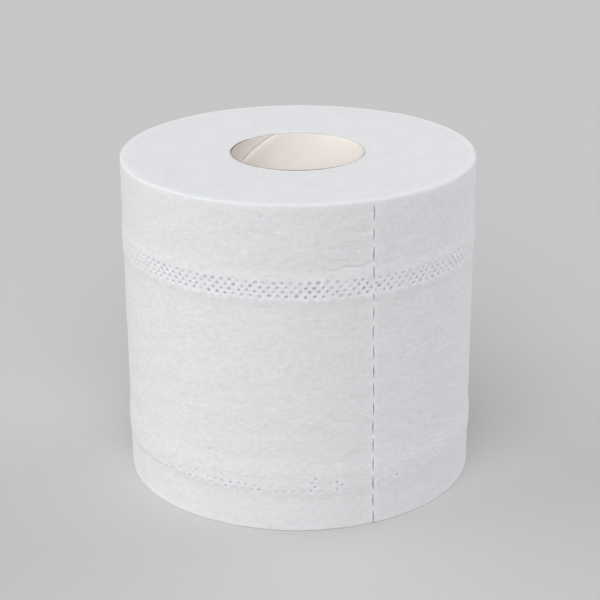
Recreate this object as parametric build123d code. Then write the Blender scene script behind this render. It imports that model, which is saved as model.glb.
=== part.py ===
from build123d import *

import math
import os

# A roll of toilet paper that stands on its end: one long sheet of tissue, wound on a board core.
# +Z runs up the core's axis, and the origin is the middle of the lower end. Lengths are in millimetres.
# Angles are in degrees about +Z, counted from +X towards +Y, so the front of the roll is at -90.

# Wound sheet
roll_height = 100.0
roll_diameter = 107.4
sheet_thickness = 0.2
sheet_length = 111.6
tail_angle = 52.5

# Turns of the sheet, which show as a spiral line on both ends
turn_pitch = 7.5
turn_width = 0.6
turn_depth = 0.3
turn_steps = 40

# Board core, cut flush with the sheet at both ends
core_bore = 39.4
core_wall = 0.6
seam_pitch = 60.0
seam_top_angle = 108.0
seam_width = 0.8
seam_depth = 0.25

# Bands of small pits that press the plies together
upper_band_height = 75.1
lower_band_height = 14.8
pit_rows = 4
pit_pitch = 2.55
pit_size = 1.0
pit_depth = 0.4
faint_group_angles = (-113.2, -102.8, -85.5, -77.0, -58.3)
faint_group_columns = 2

# Perforation between two sheets
slit_length = 4.8
slit_bond = 1.1
slit_width = 0.35
slit_depth = 0.6
lowest_slit = -0.7

roll_radius = roll_diameter / 2
core_radius = core_bore / 2 + core_wall
row_pitch = pit_pitch / 2
band_width = (pit_rows - 1) * row_pitch + pit_size
pit_columns = round(2 * math.pi * roll_radius / pit_pitch)
column_step = 360 / pit_columns
overcut = 1.0


def towards(angle, distance, height=0.0):
    """The point that far from the axis, in that direction."""
    return Vector(distance * math.cos(math.radians(angle)), distance * math.sin(math.radians(angle)), height)


def looking_out(angle, distance, height):
    """A place on an upright wall: its Z axis points outwards and its X axis runs along the sheet."""
    point = towards(angle, distance, height)
    return Plane(origin=point, x_dir=towards(angle + 90, 1), z_dir=towards(angle, 1)).location


def wall_radius(angle):
    """How far out the sheet lies. It winds outwards by its own thickness in the last turn, up to the tail."""
    return roll_radius - sheet_thickness * (1 - (angle - tail_angle) % 360 / 360)


def make_turns():
    """The wound sheet without its hole: one narrow flat to each column of pits, and a step at the tail."""
    angles = [tail_angle + column * column_step for column in range(pit_columns)]
    edges = [towards(angle, wall_radius(angle)) for angle in angles]
    outline = Polyline(*edges, towards(tail_angle, roll_radius), close=True)
    return extrude(make_face(outline), roll_height)


def turn_groove():
    """A groove with a pointed floor that follows the turns on the upper end, from the core to the rim."""
    first = core_radius + turn_width
    last = roll_radius - sheet_thickness - turn_width
    steps = math.floor((last - first) / turn_pitch * turn_steps)
    points = [
        towards(tail_angle + 360 * step / turn_steps, first + turn_pitch * step / turn_steps, roll_height)
        for step in range(steps + 1)
    ]
    path = Polyline(*points)
    half_mouth = turn_width / 2 * (turn_depth + overcut) / turn_depth
    corners = ((0, -turn_depth), (half_mouth, overcut), (-half_mouth, overcut))
    section = make_face(Polyline(*corners, close=True))
    start = Plane(origin=points[0], x_dir=Vector(0, 0, 1).cross(path % 0), z_dir=path % 0)
    return sweep(start * section, path, transition=Transition.RIGHT)


def perforation_slits():
    """The lines of slits between the sheets of the outer turn, counted back from the tail.

    The upper band is pressed together and has none.
    """
    sheet_angle = math.degrees(sheet_length / roll_radius)
    angles = [tail_angle - sheet_angle * line for line in range(1, math.ceil(360 / sheet_angle))]
    period = slit_length + slit_bond
    count = math.ceil((roll_height - lowest_slit) / period)
    heights = [lowest_slit + slit_length / 2 + period * step for step in range(count)]
    clear = (slit_length + band_width) / 2
    slit = Pos(0, 0, -slit_depth / 2) * Box(slit_width, slit_length, slit_depth + 2 * overcut)
    return [
        looking_out(angle, wall_radius(angle), height) * slit
        for angle in angles
        for height in heights
        if abs(height - upper_band_height) > clear
    ]


def band_pits(middle, columns):
    """A band's four-sided pits. Odd rows lie on the edges of the wall's flats, even rows amid them."""
    mouth = pit_size / 2 * (pit_depth + overcut) / pit_depth
    pit = loft([Pos(0, 0, overcut) * RegularPolygon(mouth, 4), Vertex(0, 0, -pit_depth)])
    to_flat = math.cos(math.radians(column_step / 2))
    top = middle + (pit_rows - 1) * row_pitch / 2
    pits = []
    for row in range(pit_rows):
        for column in columns:
            angle = tail_angle + (column + row % 2 / 2) * column_step
            distance = wall_radius(angle) * (to_flat if row % 2 else 1)
            pits.append(looking_out(angle, distance, top - row * row_pitch) * pit)
    return pits


def faint_columns():
    """The columns of the lower band, which is pressed lightly, where the pits can be seen."""
    firsts = [round((angle - tail_angle) / column_step) for angle in faint_group_angles]
    return [first + extra for first in firsts for extra in range(faint_group_columns)]


def make_paper_roll():
    """The wound sheet, as one solid round the core's hole."""
    paper = make_turns()
    paper -= Cylinder(core_radius, roll_height, align=(Align.CENTER, Align.CENTER, Align.MIN))
    groove = turn_groove()
    paper -= [groove, mirror(groove, Plane.XY.offset(roll_height / 2))]
    paper -= perforation_slits()
    paper -= band_pits(upper_band_height, range(1, pit_columns))
    paper -= band_pits(lower_band_height, faint_columns())
    return paper


def make_core():
    """The board tube, with the groove of its spiral seam on the inside."""
    tube = Cylinder(core_radius, roll_height) - Cylinder(core_bore / 2, roll_height)
    climb = roll_height + 2 * overcut
    seam = Helix(seam_pitch, climb, core_bore / 2, lefthand=True)
    start = Plane(origin=seam @ 0, x_dir=(1, 0, 0), z_dir=seam % 0)
    half_mouth = seam_width / 2 * (seam_depth + overcut) / seam_depth
    corners = ((seam_depth, 0), (-overcut, half_mouth), (-overcut, -half_mouth))
    section = make_face(Polyline(*corners, close=True))
    groove = sweep(start * section, seam, is_frenet=True)
    turned = seam_top_angle + 360 * (climb - overcut) / seam_pitch
    tube -= Pos(0, 0, -climb / 2) * Rot(0, 0, turned) * groove
    return Pos(0, 0, roll_height / 2) * tube


os.makedirs("parts", exist_ok=True)
for name, shape in (("paper_roll", make_paper_roll()), ("cardboard_core", make_core())):
    shape.label = name
    export_step(shape, f"parts/{name}.step")
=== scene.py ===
import bpy
import math
import numpy as np
from mathutils import Matrix, Vector
from mathutils.geometry import delaunay_2d_cdt


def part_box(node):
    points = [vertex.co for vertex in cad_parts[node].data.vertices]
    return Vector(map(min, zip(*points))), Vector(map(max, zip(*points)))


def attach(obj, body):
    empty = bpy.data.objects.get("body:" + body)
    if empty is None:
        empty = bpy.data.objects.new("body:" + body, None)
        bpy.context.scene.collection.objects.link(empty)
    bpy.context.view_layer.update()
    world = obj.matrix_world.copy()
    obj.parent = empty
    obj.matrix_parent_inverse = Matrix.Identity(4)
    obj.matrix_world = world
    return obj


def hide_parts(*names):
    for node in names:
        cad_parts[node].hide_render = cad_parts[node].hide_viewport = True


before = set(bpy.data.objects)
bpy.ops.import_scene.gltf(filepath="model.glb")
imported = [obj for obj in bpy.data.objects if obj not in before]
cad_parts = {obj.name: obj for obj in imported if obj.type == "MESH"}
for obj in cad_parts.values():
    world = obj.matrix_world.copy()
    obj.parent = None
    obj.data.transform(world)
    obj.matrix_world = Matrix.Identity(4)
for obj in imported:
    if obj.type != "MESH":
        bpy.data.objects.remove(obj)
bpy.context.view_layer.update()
print("frame loaded:", ", ".join(sorted(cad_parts)))

mm = 0.001  # sizes below are in millimetres, meshes in metres
paperLow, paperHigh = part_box("paper_roll")
rollHeight = (paperHigh.z - paperLow.z) / mm


def softStep(x, low, high):
    t = np.clip((x - low) / (high - low), 0, 1)
    return t * t * (3 - 2 * t)


def softBump(x, reach):
    return np.exp(-(x / reach) ** 2)


noiseCells, noiseInset = 400, 50  # cells in a pattern, and the cell where its use starts


def softNoise(along, up, cellAlong, cellUp, seed):
    # smooth hills and hollows from -1 to 1, one to a cell
    grid = np.random.default_rng(seed).uniform(-1, 1, (noiseCells, noiseCells))
    a, u = along / cellAlong + noiseInset, up / cellUp + noiseInset
    i, j = np.floor(a).astype(int), np.floor(u).astype(int)
    fa, fu = softStep(a - i, 0, 1), softStep(u - j, 0, 1)

    def corner(di, dj):
        return grid[(i + di) % noiseCells, (j + dj) % noiseCells]

    low = corner(0, 0) * (1 - fa) + corner(1, 0) * fa
    high = corner(0, 1) * (1 - fa) + corner(1, 1) * fa
    return low * (1 - fu) + high * fu


def aboutAxis(radius, angle, height):
    # points at a distance and an angle about the roll's axis
    return np.stack([radius * np.cos(angle), radius * np.sin(angle), height], 1)


insideOnly, sameWithin = 1, 1e-6  # kind of triangulation, and how close two points are one
rowStep = 0.866  # height of an even triangle, for rows of points
shakeAlong, shakeUp = 0.25, 0.22  # how far the points of such rows stray


class FlatSheet:
    # points and lines on a wall laid flat, and the triangles between them
    def __init__(self):
        self.points, self.lines, self.known = [], [], {}

    def point(self, along, up):
        key = (round(float(along), 5), round(float(up), 5))
        if key not in self.known:
            self.known[key] = len(self.points)
            self.points.append(Vector(key))
        return self.known[key]

    def line(self, places):
        ids = [self.point(a, u) for a, u in places]
        self.lines += [(a, b) for a, b in zip(ids, ids[1:]) if a != b]
        return ids

    def ring(self, along, up, size, number, start=0.0):
        for i in range(number):
            t = start + 2 * math.pi * i / number
            self.point(along + size * math.cos(t), up + size * math.sin(t))

    def triangles(self):
        found = delaunay_2d_cdt(self.points, self.lines, [], insideOnly, sameWithin)
        corners, _, faces, sources = found[:4]
        self.new = {old: new for new, olds in enumerate(sources) for old in olds}
        flat = np.array([tuple(v) for v in corners])
        return flat[:, 0], flat[:, 1], [tuple(f) for f in faces]

    def made(self, ids):
        return [self.new[i] for i in ids]


def meshPiece(name, places, faces, kinds, materials, sharp, node):
    mesh = bpy.data.meshes.new(name)
    mesh.from_pydata([tuple(p) for p in places * mm], [], faces)
    for material in materials:
        mesh.materials.append(material)
    mesh.polygons.foreach_set("material_index", np.asarray(kinds, np.int32))
    mesh.polygons.foreach_set("use_smooth", np.ones(len(faces), bool))
    mesh.set_sharp_from_angle(angle=math.radians(sharp))
    piece = bpy.data.objects.new(name, mesh)
    bpy.context.scene.collection.objects.link(piece)
    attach(piece, "root")
    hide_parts(node)
    print(name, "has", len(mesh.vertices), "points and", sum(len(f) - 2 for f in faces), "triangles")
    return piece


# shader helpers

sheen = 0.2  # paper, board and floor are all dull


def newMaterial(name, roughness):
    material = bpy.data.materials.new(name)
    material.use_nodes = True
    tree = material.node_tree
    shader = tree.nodes["Principled BSDF"]
    shader.inputs["Roughness"].default_value = roughness
    shader.inputs["Specular IOR Level"].default_value = sheen
    return material, tree, shader


def addNode(tree, kind, links=None, **settings):
    # links: input name or number -> a socket to join, or a value to set
    node = tree.nodes.new("ShaderNode" + kind)
    for name, value in settings.items():
        setattr(node, name, value)
    for key, value in (links or {}).items():
        if isinstance(value, bpy.types.NodeSocket):
            tree.links.new(value, node.inputs[key])
        else:
            node.inputs[key].default_value = value
    return node


def calc(tree, operation, a, b=0.0):
    return addNode(tree, "Math", {0: a, 1: b}, operation=operation).outputs[0]


def blend(tree, parts, offset=0.0):
    # weighted sum of some textures
    total = None
    for socket, weight in parts:
        scaled = calc(tree, "MULTIPLY", socket, weight)
        total = scaled if total is None else calc(tree, "ADD", total, scaled)
    return calc(tree, "ADD", total, offset)


def noise(tree, vector, scale, detail=2.0, rough=0.5):
    settings = {"Vector": vector, "Scale": scale, "Detail": detail, "Roughness": rough}
    return addNode(tree, "TexNoise", settings).outputs["Fac"]


def ramp(tree, value, low, high, most=1.0):
    # from 0 to most, while the value goes from low to high
    limits = {"Value": value, "From Min": low, "From Max": high, "To Max": most}
    return addNode(tree, "MapRange", limits).outputs[0]


def stretched(tree, vector, scale):
    return addNode(tree, "Mapping", {"Vector": vector, "Scale": scale}).outputs["Vector"]


def inMillimetres(tree):
    return stretched(tree, addNode(tree, "TexCoord").outputs["Object"], (1 / mm,) * 3)


def attribute(tree, name, output="Fac"):
    return addNode(tree, "Attribute", attribute_name=name).outputs[output]


def mixColour(tree, factor, a, b):
    return addNode(tree, "Mix", {0: factor, 6: a, 7: b}, data_type="RGBA").outputs[2]


def finishShader(tree, shader, colour, height):
    tree.links.new(colour, shader.inputs["Base Color"])
    bump = addNode(tree, "Bump", {"Height": height, "Distance": mm, "Strength": 1.0})
    tree.links.new(bump.outputs["Normal"], shader.inputs["Normal"])


# the wound sheet, its bands of pressed dots and its perforation

sheet = {
    "radius": 53.7,  # over the raised bands
    "hole": 20.3,
    "thickness": 0.2,
    "tailAngle": 52.5,  # degrees about +Z, on the back
    "sheetLength": 111.6,
    "slack": 0.36,  # the plain wall lies this far inside the radius
    "leastSlack": 0.03,
    "ripples": [(7, 4, 0.05), (3.4, 2.2, 0.025)],  # length, height and depth
    "wrinkles": {
        "depth": 0.085,
        "size": (10, 2.4),
        "beside": (-7, 11),  # from the perforation, and reach
        "heights": (55, 70),  # they set in between these
        "elsewhere": 0.25,
    },
    "tailLift": 0.25,  # the torn end stands off a little
    "tailReach": 3,
    "tab": 0.45,
    "tear": 0.12,
    "tearSize": (0.7, 9),
    "tearSteps": 240,
    "edgeHighlight": {  # painted highlight along the cut edges at the top and foot
        "share": (0.42, 0.2),
        "size": (2.5, 50),
        "top": (1.0, 0.9),  # share and reach
        "foot": (1.6, 0.5),
    },
    "rim": 0.75,
    "lowRim": 0.2,
    "rimSteps": 5,
    "rimSink": 0.06,
    "rimHighlight": 0.25,  # painted highlight on the outermost turn of each end
    "endInset": 0.55,  # from the rim to the first turn on an end
    "holeEdge": 0.2,
    "holeSteps": 3,
    "spacing": 1.3,
    "around": 380,  # points round each end
    "rings": 30,  # turns that are modelled on each end
    "turnRelief": 0.025,
    "turnSize": (1.1, 1.3),
    "endSag": 0.12,
    "sagSize": (24, 24),
    "dish": (0.3, 3.5),  # how deep and how far the ends dip towards the core
    "sharp": 55,  # degrees
    "seed": 11,
    "creases": [  # angle, height, half length, slope, depth
        (-73.4, 81.0, 4.2, -0.05, 0.21), (-79.4, 80.5, 3.4, 0.03, 0.11), (-78.2, 83.1, 3.0, -0.06, 0.12),
        (-74.6, 88.4, 2.4, -0.12, 0.11), (-70.9, 91.2, 2.0, -0.08, 0.10), (-80.6, 86.8, 2.6, 0.05, 0.10),
        (-76.4, 79.5, 2.2, -0.05, 0.08), (-74.3, 33.8, 2.4, -0.15, 0.10), (-62.0, 40.5, 2.0, 0.1, 0.07),
        (118.0, 62.0, 3.0, 0.05, 0.10), (20.0, 44.0, 2.6, -0.08, 0.09), (165.0, 88.0, 2.4, 0.06, 0.09),
    ],
    "creaseBend": 0.035,  # both ends of a crease turn up
    "creaseWidth": 0.4,
    "creaseSwell": (0.6, 0.8, 0.5),  # share, height above the crease, reach
    "creaseStep": 0.6,
    "creaseStray": 0.3,
    "creaseRows": (-0.45, 0.0, 0.45, 0.9, 1.4),
    "creaseClear": (-0.8, 1.8),
    "bandRows": (12.0, 12.7),  # more points where the lower band is creased
    "specks": [(-130.8, 79.4), (-119.5, 23.4), (-101.2, 96.3), (70.0, 55.0)],  # angle and height
    "speckFloor": 0.1,
    "speckSize": 0.5,
    # how hard a speck is pressed, which also sets its painted pit shade
    "speckPress": 0.6,
    "speckDepth": 0.25,
}

# marks: angle, height and how hard a dot is pressed, where the photograph shows it
# edges: angle, reach and how much sharper or softer a band's lower edge is
bands = [
    {
        "middle": 75.1, "rows": 4, "columns": 132, "shift": 0.0, "dotSize": 1.2, "depth": 0.52,
        "strength": (0.3, 1.0), "behind": 0, "seed": 3,
        "raise": 0.26, "zone": (69.3, 72.2, 78.6, 80.4), "edges": [],
        "marks": [(-75.6, 77.0, 0.3), (-74.2, 75.7, 0.25), (-75.6, 74.5, 0.5), (-77.0, 75.7, 0.55)],
    },
    {
        "middle": 14.8, "rows": 4, "columns": 132, "shift": -1.0, "dotSize": 1.15, "depth": 0.4,
        "strength": (0.0, 0.2), "behind": 0.5, "seed": 8,
        "raise": 0.34, "zone": (10.4, 13.8, 17.8, 23.0), "edges": [(-150, 15, 0.7), (-36, 24, -2.6)],
        "marks": [
            (-112.7, 14.1, 1.0), (-113.7, 12.9, 0.8), (-115.4, 14.8, 0.6), (-102.4, 12.9, 0.8),
            (-86.2, 15.7, 0.75), (-84.9, 16.7, 0.55), (-84.9, 14.1, 0.9), (-85.9, 12.5, 0.7),
            (-78.4, 15.8, 0.7), (-76.2, 14.2, 0.9), (-77.7, 13.1, 0.75), (-57.8, 13.4, 0.8),
            (-137.4, 12.9, 0.38), (-134.4, 13.1, 0.38), (-128.5, 13.2, 0.38), (-126.3, 12.9, 0.42),
            (-124.5, 14.2, 0.42), (-123.2, 12.9, 0.38), (-120.9, 13.8, 0.38), (-110.6, 14.2, 0.38),
            (-109.6, 12.9, 0.38), (-107.9, 14.2, 0.38), (-104.7, 13.6, 0.38), (-96.7, 13.0, 0.38),
            (-93.9, 13.1, 0.34), (-131.5, 14.2, 0.3), (-130.5, 12.9, 0.3), (-118.0, 13.0, 0.34),
            (-117.5, 14.3, 0.38), (-106.3, 12.9, 0.3), (-99.5, 14.2, 0.27), (-135.5, 14.2, 0.23),
            (-127.0, 15.4, 0.23),
        ],
    },
]

dots = {
    "mix": (2.2, 1.3),  # more of them are hard than faint
    "patch": (9, 3),  # dots that lie this close are pressed alike
    "patchShare": (0.85, 0.45),
    "held": (-150, 22, 0.3),  # angle, reach and how much less they are pressed where the roll was held
    "back": (-0.2, 0.4),  # from the sides of the roll to its back
    "backPatch": (-0.2, 0.6),
    "stray": (0.13, 0.09),  # along and up
    "sizes": (0.82, 1.15),
    "pit": (0.3, 1.1),  # from the flat floor to the edge, in half widths
    "brim": (1.5, 0.35),  # the raised brim's place and reach, in half widths
    "brimRise": 0.06,
    # painted highlight round each pit
    "brimHighlight": 0.7,
    "swell": (22, 40),  # the bands swell unevenly over this length and height
    "swellShare": (0.9, 0.1),
    "edgeShift": (0.6, 0.4),  # how a sharper edge draws in at its foot and its top
    "faintest": 0.12,  # a fainter one has no points of its own
    "rings": [(0.33, 5), (0.66, 8), (1.0, 10), (1.4, 12)],  # size, in half widths, and points
    "tailClear": 0.8,  # none on the tail's edge
    "ringClear": (1.5, 1.2),  # and no rings of points this near it
    "fieldClear": 1.0,  # other points keep this far from a dot
}

slits = {
    "length": 4.8,
    "bond": 1.1,
    "lowest": -0.7,
    "lines": (1, 2, 3),  # sheets back from the tail
    "width": 0.44,
    "widths": (0.8, 1.15),
    "wider": (0.2, 40),  # more at the foot, up to this height
    "ragged": 0.15,
    "depth": 0.8,
    "lean": 0.8,  # the line drifts this far along the sheet from top to bottom
    "waver": 0.09,
    "bandGap": (73.1, 76.6),  # the upper band is pressed shut
    "taper": 0.7,
    "thinnest": 0.02,
    "lip": 0.15,
    "lipReach": 0.55,
    "lipEnd": 9,
    "farLip": 0.7,  # the lip nearer the tail stands higher
    "bondHighlight": (0.9, 0.45),  # painted highlight on a bond: how pale it is, and its reach
    "step": 0.45,
    "fewestSteps": 6,
    "edgeClear": 0.12,  # the lowest one runs out at the edge
    "lipPoints": (0.3, 0.75),
    "bondPoints": (-0.5, 0, 0.5),
    "dotClear": (1.1, 0.6),  # across and beyond the ends
    "fieldClear": (1.4, 0.4),
    "seed": 21,
}

paperLook = {
    "bright": (0.797, 0.802, 0.811, 1),
    "shade": (0.666, 0.671, 0.681, 1),
    # painted highlight along the rims, on slit lips, bonds and dot brims
    "highlit": (0.855, 0.860, 0.870, 1),
    # painted shade in the dot pits and specks
    "paintedPitShade": (0.50, 0.50, 0.52, 1),
    # painted shade in the open slits
    "paintedSlitShade": (0.12, 0.12, 0.13, 1),
    # attribute, share and colour of each painted mark: highlight, pit shade and slit shade
    "marks": [("paintedHighlight", 0.9, "highlit"), ("press", 0.85, "paintedPitShade"), ("gap", 0.65, "paintedSlitShade")],
    "roughness": 0.95,
    "crepe": (0.95, 1.15, 1.0),  # bumps to a millimetre, along and up the sheet
    "mottle": (0.48, 0.56, 1.0),
    "fibre": (2.6, 3.4, 1.0),
    "cloud": (0.12, 0.20, 1.0),
    "weave": (1.0, 3, 0.6),  # scale, detail and roughness of each
    "tones": [("crepe", 0.5), ("mottle", 1.15), ("cloud", 0.5)],
    "toneShift": -0.575,
    "relief": [("crepe", 0.115), ("mottle", 0.18), ("fibre", 0.03)],
    "endCloud": (0.12, 3, 0.55),  # the same for the two ends
    "endLint": (0.5, 4, 0.6),
    "endTones": (0.8, 0.6, 0.1),  # lint, cloud and turns
    "endToneShift": -0.25,
    "endRelief": (0.03, 0.07),  # turns and lint
    "turnPitch": 0.28,
    "turnWander": (0.06, 1.2),  # how often and how far the turns stray from a circle
}

turn = 2 * math.pi * sheet["radius"]


def makeTissueWall():
    material, tree, shader = newMaterial("tissueWall", paperLook["roughness"])
    place = attribute(tree, "sheetPlace", "Vector")
    weave = {
        name: noise(tree, stretched(tree, place, paperLook[name]), *paperLook["weave"])
        for name in ("crepe", "mottle", "fibre", "cloud")
    }
    tone = blend(tree, [(weave[k], share) for k, share in paperLook["tones"]], paperLook["toneShift"])
    colour = mixColour(tree, tone, paperLook["shade"], paperLook["bright"])
    # painted highlight, painted pit shade and painted slit shade, from their attributes
    for name, share, end in paperLook["marks"]:
        amount = calc(tree, "MULTIPLY", attribute(tree, name), share)
        colour = mixColour(tree, amount, colour, paperLook[end])
    finishShader(tree, shader, colour, blend(tree, [(weave[k], deep) for k, deep in paperLook["relief"]]))
    return material


def makeTissueEnds():
    material, tree, shader = newMaterial("tissueEnds", paperLook["roughness"])
    place = inMillimetres(tree)
    flat = stretched(tree, place, (1, 1, 0))
    reach = addNode(tree, "VectorMath", {0: flat}, operation="LENGTH").outputs["Value"]
    cloud = noise(tree, place, *paperLook["endCloud"])
    lint = noise(tree, place, *paperLook["endLint"])
    often, far = paperLook["turnWander"]
    wander = blend(tree, [(reach, 1.0), (noise(tree, place, often, 1), far)])
    wound = {"W": wander, "Scale": 1 / paperLook["turnPitch"], "Detail": 1.0}
    turns = addNode(tree, "TexNoise", wound, noise_dimensions="1D").outputs["Fac"]
    tone = blend(tree, zip((lint, cloud, turns), paperLook["endTones"]), paperLook["endToneShift"])
    colour = mixColour(tree, tone, paperLook["shade"], paperLook["bright"])
    # painted highlight along the rims and the outermost turn
    colour = mixColour(tree, attribute(tree, "paintedHighlight"), colour, paperLook["highlit"])
    finishShader(tree, shader, colour, blend(tree, zip((turns, lint), paperLook["endRelief"])))
    return material


def alongAt(angle):
    # place along the outer turn, counted from the tail
    return (angle - sheet["tailAngle"]) % 360 / 360 * turn


def layDots(band):
    rng = np.random.default_rng(band["seed"])
    shape = (band["rows"], band["columns"])
    pitch = turn / band["columns"]
    row, column = np.indices(shape)
    along = (column + row % 2 / 2) * pitch + band["shift"]
    up = band["middle"] + ((band["rows"] - 1) / 2 - row) * pitch / 2
    weak, strong = band["strength"]
    strength = weak + (strong - weak) * rng.beta(*dots["mix"], shape)
    patch = softNoise(along, up, *dots["patch"], band["seed"] + 1)
    usual, swing = dots["patchShare"]
    strength *= usual + swing * patch
    angle, reach, less = dots["held"]
    strength *= 1 - less * softBump(along - alongAt(angle), reach)
    behind = softStep(np.sin(np.radians(sheet["tailAngle"]) + along / sheet["radius"]), *dots["back"])
    strength += band["behind"] * behind * rng.uniform(0, 1, shape) * softStep(patch, *dots["backPatch"])
    for angle, height, hard in band["marks"]:
        away = np.hypot(along - alongAt(angle), up - height)
        strength[np.unravel_index(away.argmin(), shape)] = hard
    strength[along < dots["tailClear"]] = 0
    strayAlong, strayUp = dots["stray"]
    band["along"] = along + rng.normal(0, strayAlong, shape)
    band["up"] = up + rng.normal(0, strayUp, shape)
    band["press"] = np.clip(strength, 0, 1)
    band["wide"] = band["dotSize"] / 2 * rng.uniform(*dots["sizes"], shape)


def nearestDot(band, along, up):
    # distance to the nearest dot, as a share of its half width, how hard it is pressed, and the distance
    pitch = turn / band["columns"]
    lastRow = band["rows"] - 1
    row = np.round(lastRow / 2 - (up - band["middle"]) / (pitch / 2))
    row = np.clip(row, 0, lastRow).astype(int)
    column = np.round((along - band["shift"]) / pitch - row % 2 / 2).astype(int) % band["columns"]
    reach = np.hypot(along - band["along"][row, column], up - band["up"][row, column])
    return reach / band["wide"][row, column], band["press"][row, column], reach


def laySlits():
    rng = np.random.default_rng(slits["seed"])
    period = slits["length"] + slits["bond"]
    shutLow, shutHigh = slits["bandGap"]
    ragged = slits["ragged"]
    more, height = slits["wider"]
    cuts = []
    for line in slits["lines"]:
        for step in range(math.floor((rollHeight - slits["lowest"]) / period)):
            low = slits["lowest"] + period * step + rng.uniform(-ragged, ragged)
            high = slits["lowest"] + period * step + slits["length"] + rng.uniform(-ragged, ragged)
            if low < shutLow < high:
                high = shutLow
            elif low < shutHigh < high:
                low = shutHigh
            tilt, bow = rng.normal(0, slits["waver"]), rng.normal(0, slits["waver"])
            wide = slits["width"] / 2 * rng.uniform(*slits["widths"])
            cuts.append({
                "line": turn - sheet["sheetLength"] * line, "low": low, "high": high,
                "tilt": tilt, "bow": bow, "wide": wide * (1 + more - more * softStep(low, 0, height)),
            })
    slits["cuts"] = cuts


def cutShape(cut, up):
    # middle and half width of a slit at a height
    t = np.clip((up - cut["low"]) / (cut["high"] - cut["low"]), 0, 1)
    middle = cut["line"] + slits["lean"] * (0.5 - up / rollHeight)
    middle = middle + cut["tilt"] * (t - 0.5) + cut["bow"] * 4 * t * (1 - t)
    return middle, cut["wide"] * np.sin(math.pi * t) ** slits["taper"]


def shapeBand(band, along, up):
    # how far a band and its dots stand out, how deep its dots are pressed (which also sets the painted
    # shade in the pits), and the painted highlight round them
    a, b, c, d = band["zone"]
    edges = band["edges"]
    sharper = sum(amount * softBump(along - alongAt(angle), reach) for angle, reach, amount in edges)
    rise = (b - a) * sharper
    foot, head = dots["edgeShift"]
    zone = softStep(up, a + rise * foot, b - rise * head) * (1 - softStep(up, c, d))
    usual, swing = dots["swellShare"]
    out = band["raise"] * zone * (usual + swing * softNoise(along, up, *dots["swell"], band["seed"] + 2))
    away, hard, _ = nearestDot(band, along, up)
    pit = hard * (1 - softStep(away, *dots["pit"]))
    place, reach = dots["brim"]
    brim = hard * softBump(away - place, reach)
    return out - band["depth"] * pit + dots["brimRise"] * brim, pit, dots["brimHighlight"] * brim


def wrinkleDepth(along, up):
    wrinkles = sheet["wrinkles"]
    offset, reach = wrinkles["beside"]
    perforated = turn - sheet["sheetLength"]
    besideLine = softBump(along - perforated - offset, reach) * softStep(up, *wrinkles["heights"])
    hills = softNoise(along, up, *wrinkles["size"], sheet["seed"] + 2)
    return wrinkles["depth"] * (wrinkles["elsewhere"] + besideLine) * hills


def creaseDepth(along, up, angle, height, half, slope, deep):
    # a narrow fold, with a soft swelling above it
    aside = along - alongAt(angle)
    above = up - height - slope * aside - sheet["creaseBend"] * aside ** 2
    share, higher, reach = sheet["creaseSwell"]
    fold = softBump(above, sheet["creaseWidth"]) - share * softBump(above - higher, reach)
    return deep * fold * softBump(aside, half)


def shapeCut(cut, along, up):
    # how deep a slit is between its lips, how far it is open (which also sets the painted shade in it), and
    # the painted highlight on its lips and its bond
    middle, wide = cutShape(cut, up)
    taper = wide / cut["wide"]
    away = np.abs(along - middle)
    gape = np.where(taper > slits["thinnest"], np.clip(1 - away / np.maximum(wide, 1e-3), 0, 1), 0)
    lip = np.where(along > middle, 1, slits["farLip"]) * taper
    lip = lip * np.exp(-np.clip(away - wide, 0, slits["lipEnd"]) / slits["lipReach"])
    lip = np.where(gape > 0, 0, lip)
    pale, reach = slits["bondHighlight"]
    bond = pale * softBump(np.hypot(along - middle, up - cut["high"] - slits["bond"] / 2), reach)
    return slits["depth"] * gape * taper - slits["lip"] * lip, gape * taper, np.maximum(lip, bond)


def paintedEdgeHighlight(along, up):
    # painted highlight along the top and foot edges
    edgeHighlight = sheet["edgeHighlight"]
    usual, swing = edgeHighlight["share"]
    (top, topReach), (foot, footReach) = edgeHighlight["top"], edgeHighlight["foot"]
    atEdge = np.maximum(top * np.exp(-(rollHeight - up) / topReach), foot * np.exp(-up / footReach))
    return (usual + swing * softNoise(along, up, *edgeHighlight["size"], sheet["seed"] + 7)) * atEdge


def shapeWall(along, up):
    # how far the sheet lies inside the wound radius, and how much painted pit shade, painted slit shade and
    # painted highlight it gets
    depth = np.full(along.shape, sheet["slack"])
    press, gap, paintedHighlight = (np.zeros(along.shape) for _ in range(3))
    for band in bands:
        out, pit, brim = shapeBand(band, along, up)
        depth, press, paintedHighlight = depth - out, np.maximum(press, pit), np.maximum(paintedHighlight, brim)
    for k, (length, height, deep) in enumerate(sheet["ripples"]):
        depth += deep * softNoise(along, up, length, height, sheet["seed"] + k)
    depth += wrinkleDepth(along, up)
    for crease in sheet["creases"]:
        depth += creaseDepth(along, up, *crease)
    for angle, height in sheet["specks"]:
        away = np.hypot(along - alongAt(angle), up - height)
        pit = sheet["speckPress"] * (1 - softStep(away, sheet["speckFloor"], sheet["speckSize"]))
        depth, press = depth + sheet["speckDepth"] * pit, np.maximum(press, pit)
    for cut in slits["cuts"]:
        deep, parted, lipHighlight = shapeCut(cut, along, up)
        depth, gap, paintedHighlight = depth + deep, np.maximum(gap, parted), np.maximum(paintedHighlight, lipHighlight)
    paintedHighlight = np.maximum(paintedHighlight, paintedEdgeHighlight(along, up))
    depth -= sheet["tailLift"] * np.exp(-(turn - along) / sheet["tailReach"])
    return np.maximum(depth, sheet["leastSlack"]), press, gap, paintedHighlight


def wallRadius(along):
    return sheet["radius"] - sheet["thickness"] * (1 - along / turn)


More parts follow.
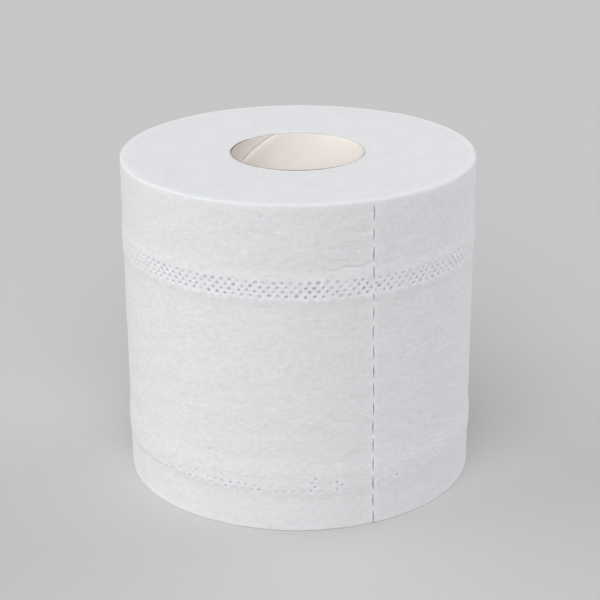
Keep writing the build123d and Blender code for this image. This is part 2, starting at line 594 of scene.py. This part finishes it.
def tornEdge(up):
    # small tabs are left where the bonds between the slits tore
    phase = (up - slits["lowest"]) % (slits["length"] + slits["bond"])
    tab = softStep(phase, slits["length"] - slits["ragged"], slits["length"] + slits["ragged"])
    return sheet["tab"] * tab + sheet["tear"] * softNoise(up, up, *sheet["tearSize"], sheet["seed"] + 3)


def endHeight(radius, angle):
    # how far an end lies inside its flat, from its loose turns and from the saw
    slow = softNoise(radius * np.cos(angle), radius * np.sin(angle), *sheet["sagSize"], sheet["seed"] + 4)
    turns = softNoise(radius, angle, *sheet["turnSize"], sheet["seed"] + 5)
    deep, far = sheet["dish"]
    dish = deep * np.exp(-(radius - sheet["hole"]) / far)
    return sheet["endSag"] * (0.5 + 0.5 * slow) + sheet["turnRelief"] * (1 + turns) + dish


def layCuts(wall, low):
    for cut in slits["cuts"]:
        first, last = max(cut["low"], low + slits["edgeClear"]), cut["high"]
        steps = max(slits["fewestSteps"], round((last - first) / slits["step"]))
        ups = np.linspace(first, last, steps + 1)
        middle, wide = cutShape(cut, ups)
        wide[wide < slits["thinnest"]] = 0
        for side in (-1, 0, 1):
            wall.line(list(zip(middle + side * wide, ups)))
        for aside in slits["bondPoints"]:
            wall.point(middle[-1] + aside, last + slits["bond"] / 2)
        for i in range(1, steps):
            for side in (-1, 1):
                for beyond in slits["lipPoints"]:
                    wall.point(middle[i] + side * (wide[i] + beyond), ups[i])


def besideCut(cut, along, up, across, beyond):
    # whether a place is this near a slit, or its ends
    near = np.abs(along - cutShape(cut, up)[0]) < across
    return near & (up > cut["low"] - beyond) & (up < cut["high"] + beyond)


def layDotRings(wall, rng):
    clearStart, clearEnd = dots["ringClear"]
    for band in bands:
        for a, u, press, wide in zip(*(band[k].ravel() for k in ("along", "up", "press", "wide"))):
            blocked = any(besideCut(cut, a, u, *slits["dotClear"]) for cut in slits["cuts"])
            if press < dots["faintest"] or blocked or a < clearStart or a > turn - clearEnd:
                continue
            wall.point(a, u)
            for share, number in dots["rings"]:
                wall.ring(a, u, share * wide, number, rng.uniform(0, 2 * math.pi))


def laySpecks(wall):
    for angle, height in sheet["specks"]:
        for share, number in ((0, 1), (0.5, 6), (1, 9)):
            wall.ring(alongAt(angle), height, share * sheet["speckSize"], number)


def layCreases(wall, rng):
    for angle, height, half, slope, _ in sheet["creases"]:
        for aside in np.arange(-2 * half, 2 * half, sheet["creaseStep"]):
            for above in sheet["creaseRows"]:
                stray = rng.uniform(0, sheet["creaseStray"])
                wall.point(alongAt(angle) + aside + stray, height + above + slope * aside)


def layField(wall, rng, low, high):
    # shaken rows over the rest of the wall, and a few straight ones
    step = sheet["spacing"]
    under, over = sheet["creaseClear"]
    rows = [(row, shakeUp) for row in np.arange(low + step * 0.8, high - step * 0.6, step * rowStep)]
    rows += [(row, 0.0) for row in sheet["bandRows"]]
    for r, (row, shake) in enumerate(rows):
        a = np.arange(step * (0.9 + r % 2 / 2), turn - step * 0.6, step)
        a = a + rng.uniform(-shakeAlong, shakeAlong, a.shape) * step
        u = row + rng.uniform(-1, 1, a.shape) * shake * step
        free = np.ones(a.shape, bool)
        for band in bands:
            _, press, reach = nearestDot(band, a, u)
            free &= (reach > dots["fieldClear"]) | (press < dots["faintest"])
        for cut in slits["cuts"]:
            free &= ~besideCut(cut, a, u, *slits["fieldClear"])
        for angle, height, half, slope, _ in sheet["creases"]:
            aside = a - alongAt(angle)
            above = u - height - slope * aside
            free &= (np.abs(aside) > 2 * half) | (above < under) | (above > over)
        for x, y in zip(a[free], u[free]):
            wall.point(x, y)


def layWall(low, high):
    # every point and line of the wall, laid flat
    rng = np.random.default_rng(sheet["seed"] + 6)
    wall = FlatSheet()
    count = sheet["around"]
    heights = np.linspace(low, high, sheet["tearSteps"])
    tear = tornEdge(heights)
    edges = {
        "low": wall.line([(tear[0] + turn * i / count, low) for i in range(count + 1)]),
        "high": wall.line([(tear[-1] + turn * i / count, high) for i in range(count + 1)]),
        "under": wall.line(list(zip(tear, heights))),  # where the tail lies on the turn below
        "tail": wall.line(list(zip(turn + tear, heights))),
    }
    layCuts(wall, low)
    layDotRings(wall, rng)
    laySpecks(wall)
    layCreases(wall, rng)
    layField(wall, rng, low, high)
    print("wall laid flat:", len(wall.points), "points")
    return wall, edges


bake = {  # where the parts of the unwrapped sheet lie on a square, in millimetres
    "side": 285,
    "margin": 2,
    "secondHalf": 104,  # the wall's second half, above the first
    "ends": 229,  # both ends, beside the wall
    "top": 55,
    "bottom": 165,
    "strips": 213,  # the hole and the tail's step, above the wall
    "holeShare": 0.5,
    "step": 145,
    "stepRadius": 50,
    "stepShare": (2, 0.7),
}


def unwrapSheet(piece, faces, charts, flat, places):
    sizes = [len(f) for f in faces]
    starts = np.cumsum([0] + sizes[:-1])
    corner = np.concatenate([np.asarray(f) for f in faces])
    along, up = flat[corner, 0], flat[corner, 1]
    second = np.repeat(np.add.reduceat(along, starts) / sizes, sizes) > turn / 2
    x, y, z = places[corner].T
    holeTurn = 2 * math.pi * sheet["hole"]
    around = np.arctan2(y, x) % (2 * math.pi) * sheet["hole"]
    first = np.repeat(np.minimum.reduceat(around, starts), sizes)
    last = np.repeat(np.maximum.reduceat(around, starts), sizes)
    past = (last - first > holeTurn / 2) & (around < holeTurn / 2)  # faces that reach past the full turn
    around = np.where(past, around + holeTurn, around)
    margin = bake["margin"]
    out, tall = bake["stepShare"]
    layout = {
        "wall": (margin + along - second * turn / 2, margin + up + second * bake["secondHalf"]),
        "top": (bake["ends"] + x, bake["top"] + y),
        "bottom": (bake["ends"] + x, bake["bottom"] + y),
        "hole": (margin + around, bake["strips"] + bake["holeShare"] * z),
        "step": (bake["step"] + out * (np.hypot(x, y) - bake["stepRadius"]), bake["strips"] + tall * z),
    }
    chart = np.repeat(charts, sizes)
    inChart = [chart == name for name in layout]
    u, v = (np.select(inChart, [spot[k] for spot in layout.values()]) for k in (0, 1))
    layer = piece.data.uv_layers.new(name="OFBake")
    layer.data.foreach_set("uv", (np.stack([u, v], 1) / bake["side"]).astype(np.float32).ravel())


def makeWoundSheet():
    laySlits()
    for band in bands:
        layDots(band)
    low, high = sheet["lowRim"], rollHeight - sheet["rim"]
    count = sheet["around"]
    pairs = [(i, (i + 1) % count) for i in range(count)]
    wall, edges = layWall(low, high)
    along, up, faces = wall.triangles()
    depth, press, gap, paintedHighlight = shapeWall(along, up)
    start = math.radians(sheet["tailAngle"])
    radius, angle = wallRadius(along) - depth, start + along / sheet["radius"]
    places = [aboutAxis(radius, angle, up)]
    flat = [np.stack([along, up, 0 * up], 1)]
    paintedHighlights = [paintedHighlight]
    total = len(along)
    charts = ["wall"] * len(faces)

    def addFaces(new, chart):
        faces.extend(new)
        charts.extend([chart] * len(new))

    def addRing(r, t, z, a, unrolled, highlit=0.0):
        nonlocal total
        places.append(aboutAxis(r, t, z))
        flat.append(np.stack([a, 0 * z + unrolled, 0 * z], 1))
        paintedHighlights.append(highlit + np.zeros(len(r)))
        total += len(r)
        return list(range(total - len(r), total))

    # the tail's torn edge, down to the turn below
    outer, inner = wall.made(edges["tail"]), wall.made(edges["under"])
    addFaces([(outer[j], inner[j], inner[j + 1], outer[j + 1]) for j in range(len(outer) - 1)], "step")

    def closeEnd(edge, chart, rim):
        # rounded rim, then the turns in to the hole
        upper = chart == "top"

        def facing(ring):
            return ring if upper else ring[::-1]

        def level(inward):
            return rollHeight - inward if upper else inward

        def bridge(old, new):
            addFaces([facing((old[i], old[j], new[j], new[i])) for i, j in pairs], chart)

        edge = wall.made(edge)
        r0, t0, a0 = radius[edge], angle[edge], along[edge]
        ring = edge
        for k in range(1, sheet["rimSteps"] + 1):
            bend = math.radians(90 / sheet["rimSteps"] * k)
            inward = rim * (1 - math.sin(bend)) + sheet["rimSink"] * math.sin(bend)
            unrolled = high + rim * bend if upper else low - rim * bend
            z = np.full(r0.shape, level(inward))
            new = addRing(r0 - rim * (1 - math.cos(bend)), t0, z, a0, unrolled, paintedHighlight[edge])
            addFaces([facing((ring[i], ring[i + 1], new[i + 1], new[i])) for i in range(count)], "wall")
            addFaces([facing((ring[count], ring[0], new[0], new[count]))], "step")
            ring = new
        half = start + 2 * math.pi * (np.arange(count) + 0.5) / count
        wide = sheet["radius"] - sheet["slack"] - sheet["thickness"] - rim - sheet["endInset"]
        hole = sheet["hole"] + sheet["holeEdge"]
        closed = None
        for share in np.linspace(0, 1, sheet["rings"]):
            r = np.full(count, wide + (hole - wide) * share)
            drop = endHeight(r, half)
            # the outermost turn gets painted highlight
            new = addRing(r, half, level(drop), half * r, 0, sheet["rimHighlight"] if share == 0 else 0.0)
            if closed is None:
                addFaces([facing((ring[i], ring[i + 1], new[i])) for i in range(count)], chart)
                addFaces([facing((ring[i + 1], new[(i + 1) % count], new[i])) for i in range(count)], chart)
                addFaces([facing((ring[count], ring[0], new[0]))], chart)
            else:
                bridge(closed, new)
            closed = new
        for k in range(1, sheet["holeSteps"] + 1):
            bend = math.radians(90 / sheet["holeSteps"] * k)
            r = np.full(count, sheet["hole"] + sheet["holeEdge"] * (1 - math.sin(bend)))
            new = addRing(r, half, level(drop + sheet["holeEdge"] * (1 - math.cos(bend))), half * r, 0)
            bridge(closed, new)
            closed = new
        return closed

    top = closeEnd(edges["high"], "top", sheet["rim"])
    bottom = closeEnd(edges["low"], "bottom", sheet["lowRim"])
    addFaces([(top[i], top[j], bottom[j], bottom[i]) for i, j in pairs], "hole")

    places, flat, charts = np.concatenate(places), np.concatenate(flat), np.array(charts)
    kinds = np.isin(charts, ("top", "bottom", "hole"))
    materials = [makeTissueWall(), makeTissueEnds()]
    piece = meshPiece("woundSheet", places, faces, kinds, materials, sheet["sharp"], "paper_roll")
    extra = np.zeros(total - len(along))
    # painted pit shade, painted slit shade and painted highlight, kept on the points
    marks = {"press": [press, extra], "gap": [gap, extra], "paintedHighlight": paintedHighlights}
    for name, values in marks.items():
        layer = piece.data.attributes.new(name, "FLOAT", "POINT")
        layer.data.foreach_set("value", np.concatenate(values).astype(np.float32))
    layer = piece.data.attributes.new("sheetPlace", "FLOAT_VECTOR", "POINT")
    layer.data.foreach_set("vector", flat.astype(np.float32).ravel())
    unwrapSheet(piece, faces, charts, flat, places)


# the board core, a tube wound from a strip

core = {
    "bore": 19.7,
    "outer": 20.26,
    "edge": 0.1,
    "sunk": 0.3,  # the sheet's soft ends stand this far over the board
    "seamPitch": 60.0,
    "seamTop": 108.0,  # degrees about +Z at the upper end
    "seamWidth": 0.8,
    "seamDepth": 0.2,
    "seamStep": 1.5,
    "seamClear": 0.5,  # other points keep this far from it, and a shorter stretch is left out
    "seamTurns": 3,  # to either side, more than the height holds
    "spacing": 2.0,
    "around": 160,
    "levels": 60,
    "crossClear": 0.35,  # no other point of an edge lies nearer to where the seam crosses it
    "rimRings": [(0.14, 0.02), (0.4, 0.0), (0.7, 0.0), (0.9, 0.03), (1.0, 0.1)],  # wall's share, depth
    "fray": 0.05,
    "sharp": 30,  # degrees
    "seed": 5,
}

boardLook = {
    "cream": (0.980, 0.935, 0.892, 1),
    "shade": (0.860, 0.803, 0.752, 1),
    "shadeBrown": (0.48, 0.445, 0.400, 1),
    "seam": (0.985, 0.955, 0.925, 1),
    "roughness": 0.85,
    "streakSize": (1.1, 1.1, 0.25),  # to a millimetre across the strip, and along it
    "stripRise": 0.35,
    "streak": (1.0, 3, 0.6),  # scale, detail and roughness
    "cloud": (0.1, 3, 0.5),
    "pulp": (1.6, 3, 0.6),
    "tones": (0.4, 0.4, 0.45),  # streaks, clouds and painted light across the strip
    "toneShift": -0.1,
    "paintedLightAt": -0.75,  # places across the strip, in radians from the seam, where the painted light and the painted shade are strongest
    "shadeAt": 1.2,
    "shadeReach": 0.5,
    "shadeStreaks": (0.9, 0.2),
    "seamHalf": (0.05, 0.025),
    "paleEnds": (1.4, 0.5, 0.6),  # from the ends: where it starts and is full, and how much it shows
    "paleEndsSide": (0.5, 1.0, 16.0),  # more of it on the far right
    "relief": (0.04, 0.03),  # streaks and pulp
}

rimLook = {
    "grey": (0.22, 0.195, 0.165, 1),
    "greyPale": (0.72, 0.68, 0.63, 1),
    "shadePlaces": [(162, 24, 0.55), (-83, 38, 0.6)],  # painted shade: angle, half width and how much darker
    "roughness": 0.95,
    "pulp": (1.2, 4, 0.65),
    "patch": (0.12, 2),
    "tones": (0.6, 0.8, 0.012),  # pulp, patches, and painted light that grows towards the right
    "toneShift": -0.12,
    "relief": 0.1,
}

boreTurn = 2 * math.pi * core["bore"]
seamLean = math.cos(math.atan2(core["seamPitch"], boreTurn))


def makeBoardInside():
    material, tree, shader = newMaterial("boardInside", boardLook["roughness"])
    place = inMillimetres(tree)
    apart = addNode(tree, "SeparateXYZ", {0: place})
    x, y, z = (apart.outputs[k] for k in "XYZ")
    # a place across the wound strip, bent to a circle so that it meets itself after each turn
    perHeight = 2 * math.pi / core["seamPitch"]
    shift = -rollHeight * perHeight - math.radians(core["seamTop"])
    phase = blend(tree, [(calc(tree, "ARCTAN2", y, x), 1.0), (z, perHeight)], shift)
    strip = 1 / perHeight
    bent = addNode(tree, "CombineXYZ", {
        0: calc(tree, "MULTIPLY", calc(tree, "COSINE", phase), strip),
        1: calc(tree, "MULTIPLY", calc(tree, "SINE", phase), strip),
        2: calc(tree, "MULTIPLY", z, boardLook["stripRise"]),
    }).outputs[0]
    streak = noise(tree, stretched(tree, bent, boardLook["streakSize"]), *boardLook["streak"])
    cloud = noise(tree, place, *boardLook["cloud"])
    pulp = noise(tree, place, *boardLook["pulp"])

    def nearness(across):
        # 1 at a place across the strip, less to both sides of it
        return calc(tree, "COSINE", calc(tree, "SUBTRACT", phase, across))

    # painted light and shade across the strip: palest near one place, darker away from it
    middle = nearness(boardLook["paintedLightAt"])
    tone = blend(tree, zip((streak, cloud, middle), boardLook["tones"]), boardLook["toneShift"])
    colour = mixColour(tree, tone, boardLook["shade"], boardLook["cream"])
    # painted shade: a brown, streaky band across the strip beside the seam
    beside = ramp(tree, nearness(boardLook["shadeAt"]), boardLook["shadeReach"], 1.0)
    swing, usual = boardLook["shadeStreaks"]
    paintedShade = calc(tree, "MULTIPLY", beside, blend(tree, [(streak, swing)], usual))
    colour = mixColour(tree, paintedShade, colour, boardLook["shadeBrown"])
    wide, narrow = boardLook["seamHalf"]
    seam = ramp(tree, calc(tree, "COSINE", phase), math.cos(wide), math.cos(narrow))
    colour = mixColour(tree, seam, colour, boardLook["seam"])

    # paler near the cut ends, more towards the far right
    starts, full, shows = boardLook["paleEnds"]
    fromMiddle = calc(tree, "ABSOLUTE", calc(tree, "SUBTRACT", z, rollHeight / 2))
    paleEnds = ramp(tree, fromMiddle, rollHeight / 2 - starts, rollHeight / 2 - full, shows)
    rightwards, farther, reach = boardLook["paleEndsSide"]
    farRightShare = ramp(tree, blend(tree, [(x, rightwards), (y, farther)]), 0.0, reach)
    colour = mixColour(tree, calc(tree, "MULTIPLY", paleEnds, farRightShare), colour, boardLook["seam"])
    finishShader(tree, shader, colour, blend(tree, zip((streak, pulp), boardLook["relief"])))
    return material


def makeBoardRim():
    material, tree, shader = newMaterial("boardRim", rimLook["roughness"])
    place = inMillimetres(tree)
    pulp = noise(tree, place, *rimLook["pulp"])
    patch = noise(tree, place, *rimLook["patch"])
    apart = addNode(tree, "SeparateXYZ", {0: place})
    x, y = apart.outputs["X"], apart.outputs["Y"]
    around = calc(tree, "ARCTAN2", y, x)
    parts = list(zip((pulp, patch, x), rimLook["tones"]))
    # painted shade at some angles
    for angle, half, amount in rimLook["shadePlaces"]:
        away = calc(tree, "COSINE", calc(tree, "SUBTRACT", around, math.radians(angle)))
        parts.append((ramp(tree, away, math.cos(math.radians(half)), 1.0), -amount))
    tone = blend(tree, parts, rimLook["toneShift"])
    colour = mixColour(tree, tone, rimLook["grey"], rimLook["greyPale"])
    finishShader(tree, shader, colour, calc(tree, "MULTIPLY", pulp, rimLook["relief"]))
    return material


def seamHeight(along):
    return rollHeight - core["seamPitch"] * (along / boreTurn - core["seamTop"] / 360)


def seamAway(along, up):
    # distance from the seam's middle, across it
    off = (up - seamHeight(along)) / core["seamPitch"]
    return (off - np.round(off)) * core["seamPitch"] * seamLean


def seamCrossing(shift, level):
    # where a line beside the seam meets a height
    return (seamHeight(0) + shift - level) / core["seamPitch"] * boreTurn


def layBore(low, high, rng):
    # every point and line of the bore, laid flat
    wall = FlatSheet()
    half = core["seamWidth"] / 2
    clear = 0.2  # a crossing nearer a corner is left to that corner
    turns = range(-core["seamTurns"], core["seamTurns"] + 1)
    lines = [side * half / seamLean + core["seamPitch"] * k for k in turns for side in (-1, 0, 1)]

    def spread(first, last, number, fixed):
        even = np.linspace(first, last, number + 1)
        even = [x for x in even if all(abs(x - f) > core["crossClear"] for f in fixed)]
        return np.array(sorted(even + list(fixed)))

    crossAlong = [seamCrossing(shift, level) for shift in lines for level in (low, high)]
    crossAlong = [a for a in crossAlong if clear < a < boreTurn - clear]
    crossUp = [seamHeight(0) + shift for shift in lines]
    crossUp = [u for u in crossUp if low + clear < u < high - clear]
    alongs = spread(0, boreTurn, core["around"], crossAlong)
    ups = spread(low, high, core["levels"], crossUp)
    edges = {
        "low": wall.line([(a, low) for a in alongs]),
        "high": wall.line([(a, high) for a in alongs]),
        "first": wall.line([(0, u) for u in ups]),
        "last": wall.line([(boreTurn, u) for u in ups]),
    }
    for shift in lines:
        ends = sorted(min(max(seamCrossing(shift, level), 0), boreTurn) for level in (low, high))
        length = ends[1] - ends[0]
        if length > core["seamClear"]:
            a = np.linspace(*ends, max(2, round(length / core["seamStep"])))
            wall.line(list(zip(a, seamHeight(a) + shift)))

    step = core["spacing"]
    for r, row in enumerate(np.arange(low + step, high - step * 0.6, step * rowStep)):
        a = np.arange(step * (0.6 + r % 2 / 2), boreTurn - step * 0.5, step)
        a = a + rng.uniform(-shakeAlong, shakeAlong, a.shape) * step
        u = row + rng.uniform(-shakeUp, shakeUp, a.shape) * step
        for x, y in zip(a, u):
            if abs(seamAway(x, y)) > half + core["seamClear"]:
                wall.point(x, y)
    return wall, edges


def makeBoardCore():
    rng = np.random.default_rng(core["seed"])
    low = core["sunk"] + core["edge"]
    wall, edges = layBore(low, rollHeight - low, rng)
    along, up, triangles = wall.triangles()
    across = np.abs(seamAway(along, up)) / (core["seamWidth"] / 2)
    radius = core["bore"] + core["seamDepth"] * np.clip(1 - across, 0, 1)
    angle = along / core["bore"]
    weld = dict(zip(wall.made(edges["last"]), wall.made(edges["first"])))
    keep = [i for i in range(len(along)) if i not in weld]
    renumber = {old: new for new, old in enumerate(keep)}

    def joined(ids):
        return tuple(renumber[weld.get(i, i)] for i in ids)

    places = [aboutAxis(radius, angle, up)[keep]]
    faces = [joined(f[::-1]) for f in triangles]
    kinds = [0] * len(faces)
    total = len(keep)

    # the cut rims, from the bore to the outside
    outers = []
    wide = core["outer"] - core["bore"]
    for edge, upper in ((edges["high"], True), (edges["low"], False)):
        made = wall.made(edge)[:-1]
        ring, t = joined(made), angle[made]
        number = len(ring)
        for share, inward in core["rimRings"]:
            rough = core["fray"] * rng.uniform(0, 1, number) if share < 1 else np.zeros(number)
            z = core["sunk"] + inward + rough
            places.append(aboutAxis(core["bore"] + wide * share, t, rollHeight - z if upper else z))
            new = range(total, total + number)
            total += number
            for i in range(number):
                j = (i + 1) % number
                quad = (ring[i], new[i], new[j], ring[j])
                faces.append(quad if upper else quad[::-1])
                kinds.append(1)
            ring = new
        outers.append(ring)

    top, bottom = outers
    for i in range(len(top)):
        j = (i + 1) % len(top)
        faces.append((bottom[i], bottom[j], top[j], top[i]))
        kinds.append(0)
    places, materials = np.concatenate(places), [makeBoardInside(), makeBoardRim()]
    meshPiece("boardCore", places, faces, kinds, materials, core["sharp"], "cardboard_core")


makeWoundSheet()
makeBoardCore()


# floor, light and camera

studio = {
    "floor": (0.556, 0.554, 0.551, 1),
    "floorRoughness": 0.9,
    "floorCorners": ((-4, -4), (4, -4), (4, 6), (-4, 6)),
    "world": (0.243, 0.244, 0.247, 1),
    "lamps": [  # name, where it shines from, strength, spread in degrees, colour
        ("front", (-0.1, -0.7, 0.7), 2.18, 60, (0.98, 0.99, 1.0)),
        ("side", (-0.92, 0.12, 0.4), 1.40, 60, (1.0, 1.0, 0.99)),
        ("back", (0.84, 0.5, 0.14), 2.12, 50, (0.97, 0.94, 1.0)),
    ],
}


def makeStudio():
    mesh = bpy.data.meshes.new("floor")
    mesh.from_pydata([(x, y, 0) for x, y in studio["floorCorners"]], [], [(0, 1, 2, 3)])
    floor = bpy.data.objects.new("floor", mesh)
    bpy.context.scene.collection.objects.link(floor)
    material, _, shader = newMaterial("floorPaint", studio["floorRoughness"])
    shader.inputs["Base Color"].default_value = studio["floor"]
    mesh.materials.append(material)

    world = bpy.data.worlds.new("studioWorld")
    world.use_nodes = True
    world.node_tree.nodes["Background"].inputs["Color"].default_value = studio["world"]
    bpy.context.scene.world = world

    for name, shinesFrom, strength, spread, colour in studio["lamps"]:
        lamp = bpy.data.lights.new(name, "SUN")
        lamp.energy = strength
        lamp.angle = math.radians(spread)
        lamp.color = colour
        holder = bpy.data.objects.new(name, lamp)
        bpy.context.scene.collection.objects.link(holder)
        holder.rotation_euler = Vector(shinesFrom).to_track_quat("Z", "Y").to_euler()


view = {
    "place": (0, -0.48518, 0.2409),
    "pitch": 21.314,  # degrees down
    "yaw": 0.0527,
    "roll": -0.3154,
    "lens": 100.648,
    "sensor": 36,
    "nearest": 0.01,
}


def makeCamera():
    camera = bpy.data.cameras.new("camera")
    camera.lens = view["lens"]
    camera.sensor_width = view["sensor"]
    camera.clip_start = view["nearest"]
    holder = bpy.data.objects.new("camera", camera)
    bpy.context.scene.collection.objects.link(holder)
    pitch, yaw, roll = (math.radians(view[k]) for k in ("pitch", "yaw", "roll"))
    ahead = Vector((math.sin(yaw) * math.cos(pitch), math.cos(yaw) * math.cos(pitch), -math.sin(pitch)))
    right = Vector((math.cos(yaw), -math.sin(yaw), 0))
    up = right.cross(ahead)
    sideways = right * math.cos(roll) + up * math.sin(roll)
    upwards = up * math.cos(roll) - right * math.sin(roll)
    turned = Matrix((sideways, upwards, -ahead)).transposed().to_4x4()
    holder.matrix_world = Matrix.Translation(view["place"]) @ turned
    bpy.context.scene.camera = holder


makeStudio()
makeCamera()
bpy.context.scene.view_settings.view_transform = "Standard"
print("studio and camera ready")
